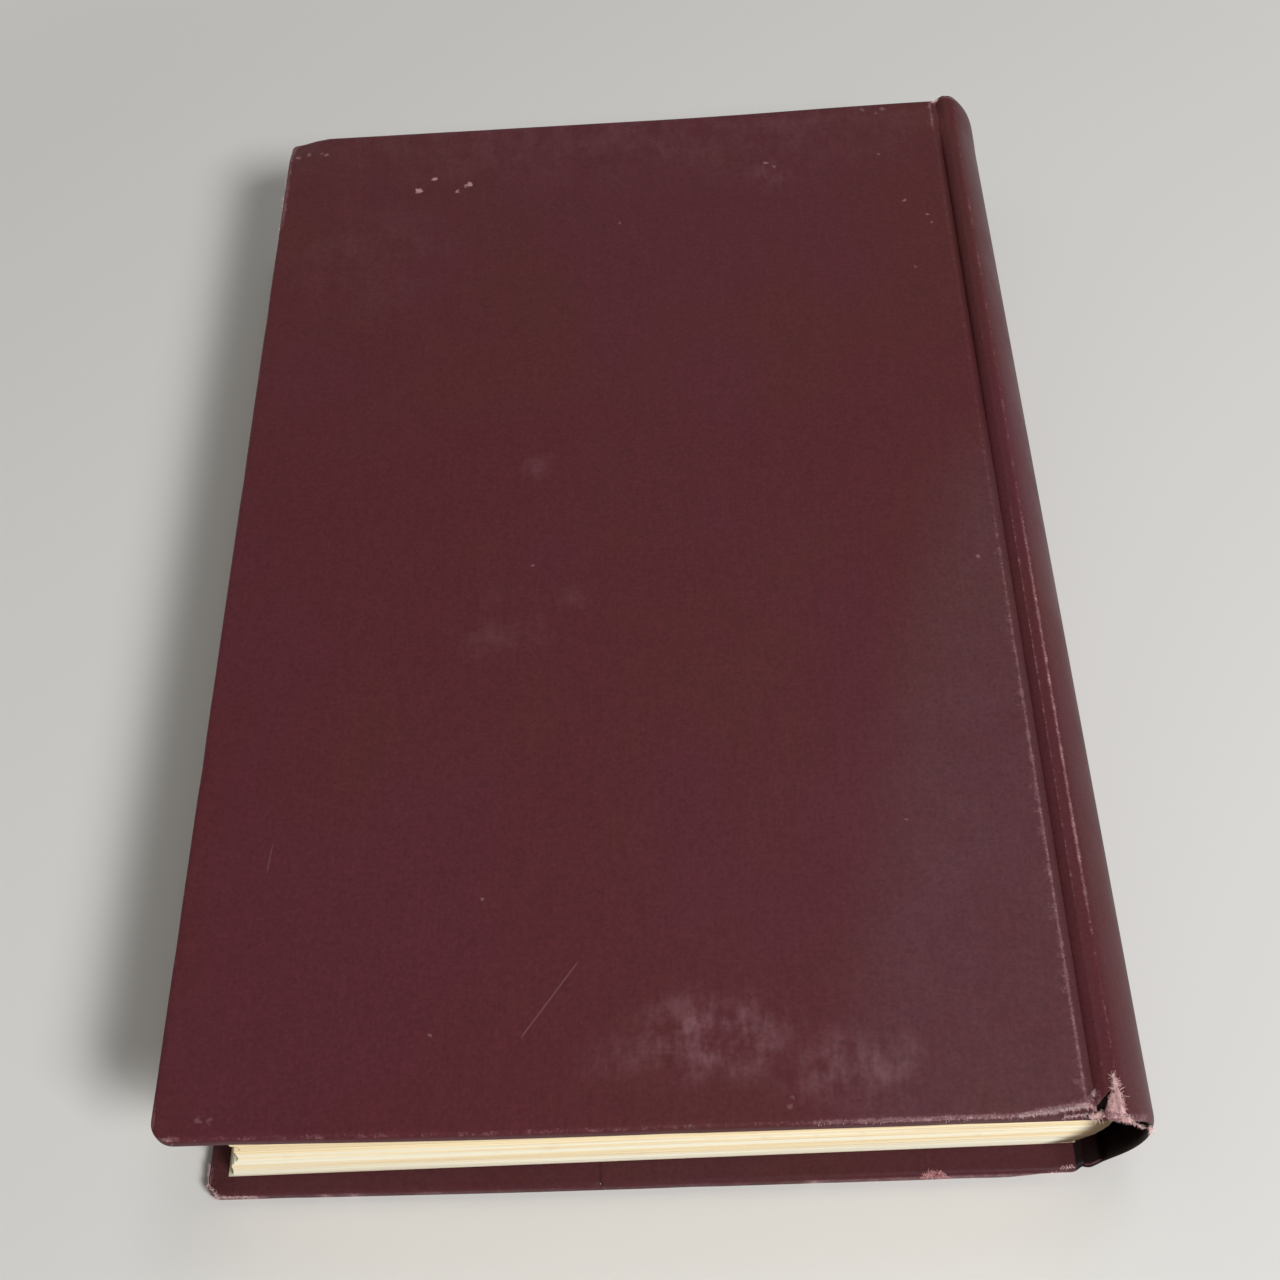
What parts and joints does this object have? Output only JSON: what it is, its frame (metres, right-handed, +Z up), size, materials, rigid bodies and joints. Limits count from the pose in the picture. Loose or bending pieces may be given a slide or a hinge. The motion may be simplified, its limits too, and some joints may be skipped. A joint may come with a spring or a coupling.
{
  "type": "hardback book",
  "caption": "Worn cloth-bound hardback book lying on its front cover, with a rounded hollow spine, grooved joints, covers that open and a solid block of pages.",
  "frame": {"origin": "centre of the closed book's box, on the surface that it lies on", "axes": "+X from the fore-edge to the spine, +Y from the tail to the head, +Z up, from the front cover to the back cover"},
  "size_m": [0.1596, 0.235, 0.031],
  "materials": {
    "cloth": "matte, faded book cloth, rubbed at the edges",
    "pages": "toned page edges",
    "endpaper": "plain toned paper",
    "lining": "brown lining paper and card",
    "board": "grey-brown binder's board"
  },
  "bodies": {
    "book_block": {"text_block": "pages", "back_endpaper": "endpaper", "front_endpaper": "endpaper", "spine_lining": "lining", "spine_inlay": "lining", "spine_cloth": "cloth"},
    "back_cover": {"back_board": "board", "back_cover_cloth": "cloth", "back_pastedown": "endpaper"},
    "front_cover": {"front_board": "board", "front_cover_cloth": "cloth", "front_pastedown": "endpaper"}
  },
  "joints": [
    {"name": "back_cover_hinge", "type": "hinge", "parent": "book_block", "child": "back_cover", "pos_m": [0.06682, 0, 0.031], "axis": [0, 1, 0], "range_deg": [0, 180]},
    {"name": "front_cover_hinge", "type": "hinge", "parent": "book_block", "child": "front_cover", "pos_m": [0.06882, 0, 0], "axis": [0, -1, 0], "range_deg": [0, 180]}
  ]
}
